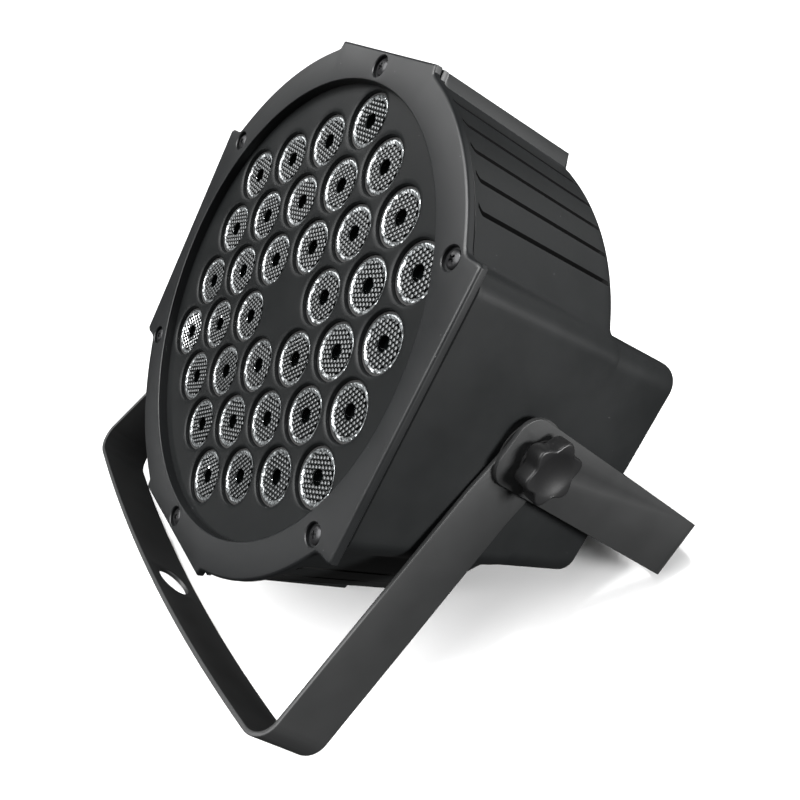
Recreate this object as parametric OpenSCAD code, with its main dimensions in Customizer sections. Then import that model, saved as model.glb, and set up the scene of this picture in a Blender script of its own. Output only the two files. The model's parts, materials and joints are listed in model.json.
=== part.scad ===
// LED par can light on a double yoke.
// Every piece is drawn in the lamp's own frame: X to the right, Y from the bezel's
// front face towards the back, Z up, origin at the centre of the bezel's front face.
// stand() then tilts the lamp so that both yokes rest on the floor at Z = 0.

/* [Face] */
// Distance between neighbouring lens centres
lens_pitch = 25; // [24.6:0.2:25.4]
// Diameter of one lens
lens_d = 20; // [19:0.5:20.5]
// Diameter of the round part of the bezel
bezel_d = 203.4; // [203:0.1:203.8]
// Width of the bezel across its two side flats
flats_w = 194.4; // [194:0.1:194.6]
// Height of the bezel across its top and bottom lugs
lugs_h = 199; // [198.6:0.2:199.4]
// Thickness of the bezel's rim
bezel_t = 3.3; // [3:0.1:3.6]
// Diameter of the round opening in the bezel
mouth_d = 176.6; // [176.4:0.1:178]
// Height of the middle of the lens grid above the middle of the bezel
lens_rise = 1; // [0:0.1:1.2]

/* [Housing] */
// Depth of the round ribbed part, from the front face
round_depth = 79; // [76:1:82]
// Depth of the whole lamp, from the front face
lamp_depth = 118; // [117:1:120]
// Thickness of the housing's walls
wall = 2.5; // [2.2:0.1:2.8]
// Number of grooves in each quarter of the round part
grooves = 5; // [4:1:5]
// Width of one groove
groove_w = 1.2; // [1:0.1:1.5]

/* [Yokes] */
// Width of the steel strap
strap_w = 26; // [24:1:27]
// Thickness of the steel strap
strap_t = 1.8; // [1.5:0.1:2]
// Angle of the front yoke, forwards from straight down
front_angle = 20.8; // [15:0.1:30]
// Angle of the rear yoke, backwards from straight down
rear_angle = 78.8; // [72:0.1:84]
// Distance from the pivot to the front yoke's corners
front_drop = 127.5; // [124:0.5:130]
// Distance from the pivot to the rear yoke's corners
rear_drop = 115.5; // [112:0.5:118]
// Bow of each cross bar at its middle
bow = 7; // [5:0.5:8]
// Diameter of the hanging hole in each cross bar
hang_d = 15; // [12:0.5:16]

/* [Knobs] */
// Diameter of a star knob over its lobes
knob_d = 26.6; // [25:0.2:28]
// Number of lobes on a star knob
knob_lobes = 6; // [5:1:7]
// Diameter of the clamping studs
stud_d = 6; // [6:1:6]

/* [Hidden] */

$fn = 72;
eps = 0.01;

black = [0.06, 0.06, 0.065];
satin = [0.10, 0.10, 0.11];
steel = [0.72, 0.72, 0.74];
brass = [0.80, 0.62, 0.28];
clear = [0.85, 0.88, 0.92];

// Face layout
bezel_r = bezel_d / 2;
mouth_r = mouth_d / 2;
lug_half = 32.5;
flat_half = 50.5;
panel_front = 4;
panel_t = 2.5;
panel_r = 92;
lens_r = lens_d / 2;
lens_hole_r = lens_r + 1;
lens_front = 5.5;
lens_len = 11;
holder_front = 6;
board_y = 18;
board_t = 1.6;
board_r = 86;
chip_h = 1.2;
sink_base = 2.4;
sink_fin = 14;
lens_columns = [-3, -2, -1, 0, 1, 2, 3];
column_counts = [4, 5, 6, 7, 6, 5, 4];

// Bezel screws: one at the top, one at the bottom and two at each side
screw_x = 83.4;
screw_z = 47.8;
screw_top = 94;
bezel_screw_at = [
    [0, screw_top], [0, -screw_top], [screw_x, screw_z],
    [screw_x, -screw_z], [-screw_x, screw_z], [-screw_x, -screw_z]
];
screw_head_r = 3.2;
screw_shank_r = 1.5;

// Housing
lip = 1.5;
housing_front = bezel_t + 0.3;
housing_r = bezel_r - lip;
housing_r_back = housing_r - 1.8;
shoulder_r = 5;
side_half = flats_w / 2 - lip;
side_half_back = side_half - 3.7;
side_high = flat_half - 1;
side_high_back = side_high - 3.7;
end_chamfer = 2;
chamfer_inset = 1.6;
lug_z = lugs_h / 2;
lug_slope = 0.3;
lug_drop = 6;
lug_end = round_depth - 11;
groove_first = 38.7;
groove_step = 7.05;
groove_front = 9;
groove_depth = 1.4;
cavity_r = housing_r_back - wall;
cavity_x = 87;
cavity_z = 41;
cover_x = 89;
cover_z = 42.6;
cover_t = 3;
cover_y = lamp_depth - cover_t;

// Pivot and the stack of pieces clamped on it
pivot_y = 59.5;
pivot_z = 0;
pivot_boss_r = 14;
pivot_face = 94.3;
pad_t = 0.5;
gap = 0.3;
front_yoke_x = pivot_face + pad_t + gap;
rear_yoke_x = front_yoke_x + strap_t + gap;
knob_base = rear_yoke_x + strap_t + gap;
washer_t = 0.8;
knob_t = 8.9;
stud_r = stud_d / 2 - 0.08;
insert_r = 5;
insert_len = 9;
insert_start = 85;
bend_r = 11;
front_spread = 104;
spread_from = 22;

// Rear cover layout
fan_size = 60;
fan_t = 15;
fan_bore = 28.5;
fan_pitch = 50;
fan_back = cover_y - 0.2;
window_at = [-60, 25];
window_size = [42, 17];
button_z = 7;
button_x = [-75, -65, -55, -45];
button_d = 6;
button_travel = 0.6;
power_y = 44;
control_y = cover_y - 12;
switch_y = cover_y - 7;
inlet_at = [-60, -21];
inlet_len = 21;
socket_len = 23;
dmx_x = 60;
dmx_z = 20;

// Floor: the line under the two lowest strap edges, in the lamp's Y-Z plane
half_strap = strap_w / 2;
front_reach = front_drop + bow;
rear_reach = rear_drop + bow;
front_foot = [
    pivot_y - sin(front_angle) * front_reach + cos(front_angle) * half_strap,
    pivot_z - cos(front_angle) * front_reach - sin(front_angle) * half_strap
];
rear_foot = [
    pivot_y + sin(rear_angle) * rear_reach - cos(rear_angle) * half_strap,
    pivot_z - cos(rear_angle) * rear_reach - sin(rear_angle) * half_strap
];
tilt = atan2(rear_foot[1] - front_foot[1], rear_foot[0] - front_foot[0]);
// Highest and furthest strap edges, which set the middle of the footprint
front_edge = [
    front_foot[0] - 2 * cos(front_angle) * half_strap,
    front_foot[1] + 2 * sin(front_angle) * half_strap
];
rear_edge = [
    rear_foot[0] + 2 * cos(rear_angle) * half_strap,
    rear_foot[1] + 2 * sin(rear_angle) * half_strap
];
function floor_y(p) = p[0] * cos(tilt) + p[1] * sin(tilt);
function floor_z(p) = p[1] * cos(tilt) - p[0] * sin(tilt);
shift_y = -(floor_y(front_edge) + floor_y(rear_edge)) / 2;
shift_z = -floor_z(front_foot);

// Moves the lamp's frame to where the lamp stands
module stand() {
    translate([0, shift_y, shift_z]) rotate([-tilt, 0, 0]) children();
}

// Extrudes a face-on outline from depth y0 to depth y1
module depth(y0, y1) {
    translate([0, y1, 0]) rotate([90, 0, 0]) linear_extrude(y1 - y0) children();
}

// A rod along Y from y0 to y1
module rod(r, y0, y1, at = [0, 0]) {
    translate([at[0], y0, at[1]]) rotate([-90, 0, 0]) cylinder(r = r, h = y1 - y0);
}

// A rod along X from x0 to x1, through the pivot
module pivot_rod(r, x0, x1) {
    translate([x0, pivot_y, pivot_z]) rotate([0, 90, 0]) cylinder(r = r, h = x1 - x0);
}

// A block from one corner to the other
module block(low, high) {
    translate(low) cube(high - low);
}

// Turns a profile of radius and depth about an axis along Y
module turned(at = [0, 0]) {
    translate([at[0], 0, at[1]]) rotate([-90, 0, 0]) rotate_extrude() children();
}

module rounded_box(half_x, half_z, r) {
    square([2 * half_x, 2 * (half_z - r)], center = true);
    square([2 * (half_x - r), 2 * half_z], center = true);
    for (sx = [-1, 1], sz = [-1, 1]) {
        translate([sx * (half_x - r), sz * (half_z - r)]) circle(r);
    }
}

// A symmetric outline along Y: half widths at the front and the back, chamfered at the end
function tapered(half_front, half_back) = [
    [housing_front, -half_front], [housing_front, half_front],
    [lamp_depth - end_chamfer, half_back], [lamp_depth, half_back - chamfer_inset],
    [lamp_depth, chamfer_inset - half_back], [lamp_depth - end_chamfer, -half_back]
];

// Outline of the bezel: a circle with two flat lugs and two flat sides, trimmed to them
module bezel_outline() {
    offset(r = -6, $fn = 48) offset(r = 9, $fn = 48) offset(r = -3, $fn = 48) intersection() {
        union() {
            circle(bezel_r, $fn = 180);
            square([2 * lug_half, lugs_h], center = true);
            square([flats_w, 2 * flat_half], center = true);
        }
        square([flats_w, lugs_h], center = true);
    }
}

// Centres of the 36 lenses in seven upright columns, with the middle one left out
lens_at = [
    for (i = [0 : 6], j = [0 : column_counts[i] - 1])
        let (z = (j - (column_counts[i] - 1) / 2) * lens_pitch)
        if (!(lens_columns[i] == 0 && z == 0))
            [lens_columns[i] * lens_pitch * sqrt(3) / 2, z + lens_rise]
];

module front_bezel() {
    color(satin) difference() {
        union() {
            depth(0, bezel_t) bezel_outline();
            rod(panel_r, 0, panel_front);
        }
        rod(mouth_r, -1, panel_front + 1, $fn = 180);
        for (p = bezel_screw_at) {
            rod(screw_head_r + 0.8, -1, 1.6, p);
            rod(screw_shank_r + 0.2, 1, bezel_t + 1, p);
        }
    }
}

// A pan-head screw that enters along +Y
module screw(at, y_head, head_r, head_h, shank_r, shank_len) {
    difference() {
        union() {
            rod(head_r, y_head, y_head + head_h, at);
            rod(shank_r, y_head + head_h - eps, y_head + head_h + shank_len, at);
        }
        for (a = [0, 90]) {
            translate([at[0], y_head + 0.5, at[1]]) rotate([0, a, 0])
                cube([head_r * 1.1, 1.1, 0.8], center = true);
        }
    }
}

module bezel_screws() {
    color(black) for (p = bezel_screw_at) {
        screw(p, 0.2, screw_head_r, 1.4, screw_shank_r, 9);
    }
}

module lens_panel() {
    color(satin) difference() {
        rod(panel_r, panel_front, panel_front + panel_t, $fn = 180);
        for (p = lens_at) {
            rod(lens_hole_r, panel_front - 1, panel_front + panel_t + 1, p);
        }
    }
}

// One collimator lens: a flat face with a central well, and a cone down to its LED
module lens(at) {
    turned(at) polygon([
        [2.4, lens_front + 3], [2.4, lens_front], [lens_r, lens_front],
        [lens_r, lens_front + 1.5], [4.6, lens_front + lens_len],
        [3, lens_front + lens_len], [3, lens_front + 5.5], [0, lens_front + 5.5],
        [0, lens_front + 3]
    ]);
}

module lenses() {
    color(clear) for (p = lens_at) lens(p);
}

// One lens holder: a tube with a narrow foot that stands on the LED board
module lens_holder(at) {
    turned(at) polygon([
        [lens_r + 0.1, holder_front], [lens_r + 0.8, holder_front],
        [lens_r + 0.8, board_y], [5.4, board_y], [5.4, board_y - 1.2],
        [lens_r + 0.1, board_y - 5]
    ]);
}

module lens_holders() {
    color(black) for (p = lens_at) lens_holder(p);
}

// Where three screws hold the LED board on the heatsink, between the lenses
board_screw_at = [
    for (a = [0, 120, 240]) lens_pitch / sqrt(3) * [cos(a), sin(a)] + [0, lens_rise]
];

// Six posts that hold the LED board behind the lens panel, outside the lenses
module board_standoffs() {
    color(brass) for (a = [0 : 60 : 300]) {
        rod(3, panel_front + panel_t, board_y, 80 * [cos(a), sin(a)]);
    }
}

module led_board() {
    color([0.9, 0.9, 0.88]) difference() {
        rod(board_r, board_y, board_y + board_t, $fn = 120);
        for (p = board_screw_at) rod(1.7, board_y - 1, board_y + board_t + 1, p);
    }
}

module led_chips() {
    color([0.95, 0.85, 0.4]) for (p = lens_at) {
        translate([p[0] - 1.75, board_y - chip_h, p[1] - 1.75]) cube([3.5, chip_h, 3.5]);
    }
}

module heatsink() {
    y0 = board_y + board_t;
    color([0.75, 0.76, 0.78]) difference() {
        union() {
            rod(board_r, y0, y0 + sink_base, $fn = 120);
            intersection() {
                rod(board_r, y0, y0 + sink_base + sink_fin, $fn = 120);
                for (i = [-6 : 6]) {
                    block([i * 12 - 0.8, y0 + 1, -board_r],
                          [i * 12 + 0.8, y0 + sink_base + sink_fin, board_r]);
                }
            }
        }
        for (p = board_screw_at) rod(1.3, y0 - 1, y0 + sink_base + 1, p);
    }
}

module heatsink_screws() {
    color(steel) for (p = board_screw_at) {
        screw(p, board_y - 1.6, 2.6, 1.6, 1.25, board_t + sink_base - 0.4);
    }
}

// The box through the middle of the housing, a little lower at the back
module side_box() {
    intersection() {
        depth(housing_front, lamp_depth) rounded_box(side_half, side_high, 9);
        translate([-120, 0, 0]) rotate([90, 0, 90]) linear_extrude(240)
            polygon(tapered(side_high, side_high_back));
    }
}

// The round body, coned slightly, with a rounded rear shoulder
module round_body() {
    turned() difference() {
        polygon([
            [0, housing_front], [housing_r, housing_front],
            [housing_r_back, round_depth], [0, round_depth]
        ]);
        difference() {
            translate([housing_r_back - shoulder_r, round_depth - shoulder_r])
                square(2 * shoulder_r);
            translate([housing_r_back - shoulder_r, round_depth - shoulder_r])
                circle(shoulder_r);
        }
    }
}

// The flat lugs on top and below
module lugs() {
    block([1 - lug_half, housing_front, -lug_z], [lug_half - 1, round_depth - 3, lug_z]);
}

// What bounds the housing: two flat sides, and lug faces that slope down at the back
module outer_limits() {
    intersection() {
        translate([0, 0, -120]) linear_extrude(240)
            polygon([for (p = tapered(side_half, side_half_back)) [p[1], p[0]]]);
        translate([-120, 0, 0]) rotate([90, 0, 90]) linear_extrude(240) polygon([
            [housing_front, -lug_z], [housing_front, lug_z],
            [lug_end, lug_z - lug_slope], [round_depth - 3, lug_z - lug_drop],
            [lamp_depth, lug_z - lug_drop], [lamp_depth, lug_drop - lug_z],
            [round_depth - 3, lug_drop - lug_z], [lug_end, lug_slope - lug_z]
        ]);
    }
}

module outer_body() {
    intersection() {
        union() {
            round_body();
            side_box();
            lugs();
        }
        outer_limits();
    }
}

// Every groove angle, counted from the +X side, in all four quarters
groove_angles = [
    for (k = [0 : grooves - 1], sx = [0, 180], sz = [-1, 1])
        sx + sz * (groove_first + k * groove_step)
];

module housing_grooves() {
    for (a = groove_angles) {
        rotate([0, -a, 0]) block(
            [housing_r_back - groove_depth, groove_front, -groove_w / 2],
            [housing_r + 5, round_depth + 5, groove_w / 2]
        );
    }
}

// Posts for the bezel screws, inside the housing's outline
module screw_posts() {
    intersection() {
        for (p = bezel_screw_at) rod(4.6, housing_front, housing_front + 14, p);
        outer_body();
    }
}

// Posts for the rear cover's screws, in the corners behind the cover
module rear_posts() {
    for (p = cover_screw_at) rod(4.5, cover_y - 12, cover_y, p);
}

// Slots in the rear wall above and below the box, which let the cooling air in
vent_x = [-45 : 9 : 45];

module rear_housing() {
    color(satin) difference() {
        union() {
            difference() {
                outer_body();
                intersection() {
                    rod(cavity_r, housing_front - 1, round_depth - wall, $fn = 120);
                    block([-91, 0, -100], [91, round_depth, 100]);
                }
                block([-cavity_x, round_depth - 10, -cavity_z], [cavity_x, lamp_depth + 1, cavity_z]);
                block([-cover_x - 0.3, cover_y, -cover_z - 0.3],
                      [cover_x + 0.3, lamp_depth + 1, cover_z + 0.3]);
            }
            screw_posts();
            rear_posts();
            for (side = [-1, 1]) {
                pivot_rod(pivot_boss_r, min(side * 88, side * pivot_face), max(side * 88, side * pivot_face));
                pivot_rod(9, min(side * 85, side * 91), max(side * 85, side * 91));
            }
        }
        housing_grooves();
        rod(panel_r + 0.3, housing_front - 1, panel_front + panel_t + 0.3, $fn = 180);
        for (p = bezel_screw_at) rod(screw_shank_r + 0.1, housing_front - 1, housing_front + 12, p);
        for (p = cover_screw_at) rod(1.55, cover_y - 11, cover_y + 1, p);
        pivot_rod(insert_r, -pivot_face + 0.4, -insert_start + 1);
        pivot_rod(insert_r, insert_start - 1, pivot_face - 0.4);
        pivot_rod(stud_d / 2 + 0.5, -pivot_face - 1, -80);
        pivot_rod(stud_d / 2 + 0.5, 80, pivot_face + 1);
        for (x = vent_x, side = [-1, 1]) {
            translate([x, round_depth, side * 66]) cube([3.2, 12, 26], center = true);
        }
    }
}

module pivot_insert(side) {
    color(brass) difference() {
        pivot_rod(insert_r, min(side * insert_start, side * (pivot_face - 0.4)),
            max(side * insert_start, side * (pivot_face - 0.4)));
        pivot_rod(stud_d / 2, -100, 100);
    }
}

module friction_pad(side) {
    color([0.04, 0.04, 0.04]) difference() {
        pivot_rod(pivot_boss_r - 0.4, min(side * pivot_face, side * (pivot_face + pad_t)),
            max(side * pivot_face, side * (pivot_face + pad_t)));
        pivot_rod(stud_d / 2 + 0.5, -100, 100);
    }
}

cover_screw_at = [for (x = [-1, 1], z = [-1, 1]) [x * 85, z * 39]];
fan_screw_at = [for (x = [-1, 1], z = [-1, 1]) [x * fan_pitch / 2, z * fan_pitch / 2]];
inlet_screw_at = [for (s = [-1, 1]) inlet_at + [20 * s, 0]];
dmx_screw_at = [for (side = [-1, 1], s = [-1, 1]) [dmx_x + s * 9.5, side * dmx_z + s * 12]];

module rear_cover() {
    color(satin) difference() {
        depth(cover_y, lamp_depth) rounded_box(cover_x, cover_z, 3);
        rod(fan_bore, cover_y - 1, lamp_depth + 1);
        for (p = concat(cover_screw_at, fan_screw_at, inlet_screw_at, dmx_screw_at)) {
            rod(1.7, cover_y - 1, lamp_depth + 1, p);
        }
        translate([window_at[0], lamp_depth, window_at[1]])
            cube([window_size[0], 2 * cover_t + 1, window_size[1]], center = true);
        for (x = button_x) rod(button_d / 2 + 0.3, cover_y - 1, lamp_depth + 1, [x, button_z]);
        translate([inlet_at[0], lamp_depth, inlet_at[1]])
            cube([28, 2 * cover_t + 1, 21], center = true);
        for (side = [-1, 1]) rod(12, cover_y - 1, lamp_depth + 1, [dmx_x, side * dmx_z]);
        translate([dmx_x, lamp_depth, 12 - dmx_z]) cube([6.8, 2 * cover_t + 1, 4.8], center = true);
    }
}

// A screw that enters along -Y, from behind
module rear_screw(at, y_face, head_r, len) {
    mirror([0, 1, 0]) screw(at, -y_face - 1.3, head_r, 1.3, 1.45, len);
}

module cover_screws() {
    color(black) for (p = cover_screw_at) rear_screw(p, lamp_depth, 2.8, 9);
}

module fan_screws() {
    color(steel) for (p = fan_screw_at) rear_screw(p, lamp_depth + 1.7, 2.8, 9);
}

module socket_screws() {
    color(black) {
        for (p = inlet_screw_at) rear_screw(p, lamp_depth + 2, 2.8, 8);
        for (p = dmx_screw_at) rear_screw(p, lamp_depth + 1.6, 2.6, 8);
    }
}

module fan_frame() {
    y0 = fan_back - fan_t;
    color(black) difference() {
        union() {
            difference() {
                depth(y0, fan_back) rounded_box(fan_size / 2, fan_size / 2, 3);
                rod(fan_bore, y0 - 1, fan_back + 1);
            }
            rod(11, y0, y0 + 2);
            for (a = [45 : 90 : 315]) {
                rotate([0, a, 0]) block([9, y0, -1.5], [fan_bore + 1, y0 + 2, 1.5]);
            }
            rod(2.4, y0, y0 + 6);
        }
        rod(1.55, y0 + 1, fan_back);
        for (p = fan_screw_at) rod(1.6, y0 - 1, fan_back + 1, p);
    }
}

module fan_rotor() {
    y0 = fan_back - fan_t + 2.6;
    y1 = fan_back - 1;
    color([0.12, 0.12, 0.13]) {
        difference() {
            rod(12, y0, y1);
            rod(10.5, y0 - 1, y1 - 2);
        }
        rod(1.5, y0 - 1, y1 - 1);
        for (a = [0 : 360 / 7 : 359]) {
            rotate([0, a, 0]) translate([11.5, (y0 + y1) / 2, 0]) rotate([35, 0, 0])
                block([0, -5.5, -0.5], [16, 5.5, 0.5]);
        }
    }
}

// Finger guard: rings on four bars, with an eye for each fan screw
module fan_guard() {
    y0 = lamp_depth + 0.1;
    color(steel) difference() {
        union() {
            for (r = [8, 15, 22, 29]) {
                translate([0, y0 + 0.8, 0]) rotate([90, 0, 0]) rotate_extrude()
                    translate([r, 0]) circle(0.8, $fn = 16);
            }
            rod(4, y0, y0 + 1.6);
            for (a = [45 : 90 : 315]) {
                rotate([0, a, 0]) block([3, y0 + 0.1, -0.9], [fan_pitch / 2 * sqrt(2), y0 + 1.5, 0.9]);
            }
            for (p = fan_screw_at) rod(3.6, y0, y0 + 1.6, p);
        }
        for (p = fan_screw_at) rod(1.7, y0 - 1, y0 + 3, p);
    }
}

// Four posts from the heatsink's base, between its fins, to the power board
module power_board_posts() {
    color(brass) for (x = [-42, 42], z = [-66, -26]) {
        rod(2.5, board_y + board_t + sink_base, power_y, [x, z]);
    }
}

module power_board() {
    color([0.1, 0.35, 0.2]) block([-60, power_y, -72], [60, power_y + board_t, -22]);
}

module transformer() {
    color([0.85, 0.75, 0.2]) block([-16, power_y + board_t, -62], [16, power_y + 25, -34]);
}

module capacitors() {
    color([0.15, 0.18, 0.3]) {
        rod(8, power_y + board_t, power_y + 26, [-38, -44]);
        for (x = [30, 42, 54]) rod(5, power_y + board_t, power_y + 18, [x, -38]);
    }
}

// Four posts that hang the control board from the rear cover
module control_board_posts() {
    color(brass) for (p = [[-77, 0], [-77, 35], [-37, 0], [-37, 35]]) {
        rod(1.9, control_y + board_t, cover_y, p);
    }
}

module control_board() {
    color([0.1, 0.35, 0.2]) block([-79.5, control_y, -4], [-34, control_y + board_t, 38]);
}

module display_module() {
    color([0.2, 0.05, 0.05]) block(
        [window_at[0] - 20, control_y + board_t, window_at[1] - 7],
        [window_at[0] + 20, cover_y - 1, window_at[1] + 7]
    );
}

module display_window() {
    color([0.15, 0.02, 0.02]) block(
        [window_at[0] - window_size[0] / 2 + 0.1, lamp_depth - 2, window_at[1] - window_size[1] / 2 + 0.1],
        [window_at[0] + window_size[0] / 2 - 0.1, lamp_depth - 0.4, window_at[1] + window_size[1] / 2 - 0.1]
    );
}

module tact_switches() {
    color([0.7, 0.7, 0.7]) for (x = button_x) {
        block([x - 3, control_y + board_t, button_z - 3], [x + 3, switch_y, button_z + 3]);
    }
}

// A button cap with a collar that keeps it behind the cover
module button(x) {
    color([0.15, 0.15, 0.16]) {
        rod(button_d / 2, switch_y + 0.1 + button_travel, lamp_depth + 1.6, [x, button_z]);
        rod(button_d / 2 + 1, cover_y - 1.8, cover_y - 0.3, [x, button_z]);
    }
}

module button_menu() { button(button_x[0]); }
module button_up() { button(button_x[1]); }
module button_down() { button(button_x[2]); }
module button_enter() { button(button_x[3]); }

// Mains inlet: a flanged box with a deep socket that opens to the back
module power_inlet() {
    color(black) translate([inlet_at[0], 0, inlet_at[1]]) difference() {
        union() {
            block([-24.5, lamp_depth, -11.5], [24.5, lamp_depth + 2, 11.5]);
            block([-13.8, lamp_depth - inlet_len, -10.3], [13.8, lamp_depth + eps, 10.3]);
        }
        depth(lamp_depth - 15, lamp_depth + 3) polygon([
            [-12, -8.3], [12, -8.3], [12, 4], [8, 8.3], [-8, 8.3], [-12, 4]
        ]);
        for (s = [-1, 1]) rod(1.7, lamp_depth - 1, lamp_depth + 3, [20 * s, 0]);
        for (p = [[-7, -2], [0, 2], [7, -2]]) {
            translate([p[0], lamp_depth - inlet_len + 6, p[1]]) cube([2, 10, 4], center = true);
        }
    }
}

module power_inlet_pins() {
    color(steel) for (p = [[-7, -2], [0, 2], [7, -2]]) {
        translate([inlet_at[0] + p[0], lamp_depth - inlet_len, inlet_at[1] + p[1]])
            block([-1, 1.5, -2], [1, 14.5, 2]);
    }
}

// Positions of the three contacts of a data socket
contact_at = [[-4.2, 1.6], [4.2, 1.6], [0, -4.6]];

// Input socket: a flanged ring around three pins
module dmx_in_socket() {
    at = [dmx_x, dmx_z];
    color(black) difference() {
        union() {
            translate([at[0], 0, at[1]]) depth(lamp_depth, lamp_depth + 1.6) rounded_box(13, 15.5, 2);
            rod(11.8, lamp_depth - socket_len, lamp_depth + eps, at);
        }
        rod(9.6, lamp_depth - 16, lamp_depth + 3, at);
        for (p = contact_at) rod(1.2, lamp_depth - socket_len - 1, lamp_depth, at + p);
        for (s = [-1, 1]) rod(1.7, lamp_depth - 1, lamp_depth + 3, at + s * [9.5, 12]);
    }
}

module dmx_in_pins() {
    color(steel) for (p = contact_at) {
        rod(1.2, lamp_depth - socket_len - 2, lamp_depth - 6.5, [dmx_x, dmx_z] + p);
    }
}

// Output socket: a flanged ring, filled by an insert with three contact holes
module dmx_out_socket() {
    at = [dmx_x, -dmx_z];
    color(black) difference() {
        union() {
            translate([at[0], 0, at[1]]) depth(lamp_depth, lamp_depth + 1.6) rounded_box(13, 15.5, 2);
            rod(11.8, lamp_depth - socket_len, lamp_depth + eps, at);
        }
        difference() {
            rod(9.6, lamp_depth - 14, lamp_depth + 3, at);
            rod(7.6, lamp_depth - 15, lamp_depth - 0.5, at);
        }
        for (p = contact_at) rod(1.3, lamp_depth - 12, lamp_depth + 1, at + p);
        for (s = [-1, 1]) rod(1.7, lamp_depth - 1, lamp_depth + 3, at + s * [9.5, 12]);
        translate([at[0], lamp_depth - 2, at[1] + 12]) cube([6.6, 16, 4.6], center = true);
    }
}

// Push tab that releases the plug from the output socket
module dmx_release_tab() {
    color([0.2, 0.2, 0.21]) translate([dmx_x, 0, -dmx_z + 12])
        block([-3, lamp_depth - 7, -2], [3, lamp_depth + 3.2, 2]);
}

// One side of a yoke's bent outline: straight arm, then a lean out to the corner, then the bow
function yoke_half(arm_x, corner_x, drop) =
    let (r = (corner_x * corner_x + bow * bow) / (2 * bow), a = asin(corner_x / r))
    concat(
        [[arm_x, 60], [arm_x, -spread_from]],
        [for (i = [0 : 12]) let (b = a * (1 - i / 12)) [r * sin(b), -drop - bow + r * (1 - cos(b))]]
    );

// The solid inside of the bent strap, shrunk by inset
module yoke_core(arm_x, corner_x, drop, inset) {
    half = yoke_half(arm_x, corner_x, drop);
    other = [for (i = [len(half) - 2 : -1 : 0]) [-half[i][0], half[i][1]]];
    offset(r = bend_r - inset, $fn = 64) offset(delta = -bend_r) polygon(concat(half, other));
}

// A strap bent to a U, hanging straight down from the pivot
module yoke(inner_x, corner_x, drop, end_len, end_r) {
    arm_x = inner_x + strap_t;
    difference() {
        intersection() {
            translate([0, half_strap, 0]) rotate([90, 0, 0]) linear_extrude(strap_w) difference() {
                yoke_core(arm_x, corner_x, drop, 0);
                yoke_core(arm_x, corner_x, drop, strap_t);
            }
            translate([-120, 0, 0]) rotate([90, 0, 90]) linear_extrude(240) hull() {
                for (s = [-1, 1]) {
                    translate([s * (half_strap - end_r), end_len - end_r]) circle(end_r);
                    translate([s * (half_strap - 1), -drop - bow - 1]) circle(1);
                }
            }
        }
        translate([-120, 0, 0]) rotate([0, 90, 0]) cylinder(r = stud_d / 2 + 0.3, h = 240);
        translate([0, 0, -drop - bow - 2]) cylinder(d = hang_d, h = 6);
    }
}

module front_yoke() {
    color(black) translate([0, pivot_y, pivot_z]) rotate([-front_angle, 0, 0])
        yoke(front_yoke_x, front_spread, front_drop, half_strap, half_strap);
}

module rear_yoke() {
    color(black) translate([0, pivot_y, pivot_z]) rotate([rear_angle, 0, 0])
        yoke(rear_yoke_x, rear_yoke_x + strap_t, rear_drop, 15.5, 8);
}

// Star knob on the +X side, dished on its face; side is 1 for right and -1 for left
module knob(side) {
    valley = 0.1 * knob_d / 2;
    mid = knob_d / 2 - valley;
    star = [for (a = [0 : 5 : 355]) (mid + valley * cos(knob_lobes * a)) * [cos(a), sin(a)]];
    color(black) mirror([side > 0 ? 0 : 1, 0, 0]) translate([knob_base, pivot_y, pivot_z])
        rotate([0, 90, 0]) difference() {
            union() {
                translate([0, 0, washer_t]) cylinder(r = 9, h = 2);
                translate([0, 0, washer_t + 1]) linear_extrude(knob_t - washer_t - 2) polygon(star);
                translate([0, 0, knob_t - 1 - eps]) linear_extrude(1 + eps, scale = 0.92) polygon(star);
            }
            translate([0, 0, knob_t + 18.2]) sphere(r = 20, $fn = 96);
            translate([0, 0, -1]) cylinder(r = stud_r, h = knob_t - 2);
        }
}

module knob_stud(side) {
    color(steel) pivot_rod(stud_r, min(side * (insert_start + 1), side * (knob_base + knob_t - 3)),
        max(side * (insert_start + 1), side * (knob_base + knob_t - 3)));
}

module knob_washer(side) {
    color(steel) difference() {
        pivot_rod(6, min(side * knob_base, side * (knob_base + washer_t)),
            max(side * knob_base, side * (knob_base + washer_t)));
        pivot_rod(stud_r, -120, 120);
    }
}

stand() front_bezel();
stand() bezel_screws();
stand() lens_panel();
stand() lenses();
stand() lens_holders();
stand() board_standoffs();
stand() led_board();
stand() led_chips();
stand() heatsink();
stand() heatsink_screws();
stand() rear_housing();
stand() pivot_insert(-1);  // pivot_insert_left
stand() pivot_insert(1);  // pivot_insert_right
stand() friction_pad(-1);  // friction_pad_left
stand() friction_pad(1);  // friction_pad_right
stand() rear_cover();
stand() cover_screws();
stand() fan_frame();
stand() fan_rotor();
stand() fan_guard();
stand() fan_screws();
stand() power_board_posts();
stand() power_board();
stand() transformer();
stand() capacitors();
stand() control_board_posts();
stand() control_board();
stand() display_module();
stand() display_window();
stand() tact_switches();
stand() button_menu();
stand() button_up();
stand() button_down();
stand() button_enter();
stand() power_inlet();
stand() power_inlet_pins();
stand() dmx_in_socket();
stand() dmx_in_pins();
stand() dmx_out_socket();
stand() dmx_release_tab();
stand() socket_screws();
stand() front_yoke();
stand() rear_yoke();
stand() knob(-1);  // knob_left
stand() knob(1);  // knob_right
stand() knob_stud(-1);  // knob_stud_left
stand() knob_stud(1);  // knob_stud_right
stand() knob_washer(-1);  // knob_washer_left
stand() knob_washer(1);  // knob_washer_right
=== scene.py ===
"""Looks of a flat LED par can light on a double yoke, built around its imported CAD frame."""
import json
import math
import random

import bmesh
import bpy
import numpy as np
from mathutils import Matrix, Vector


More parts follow.
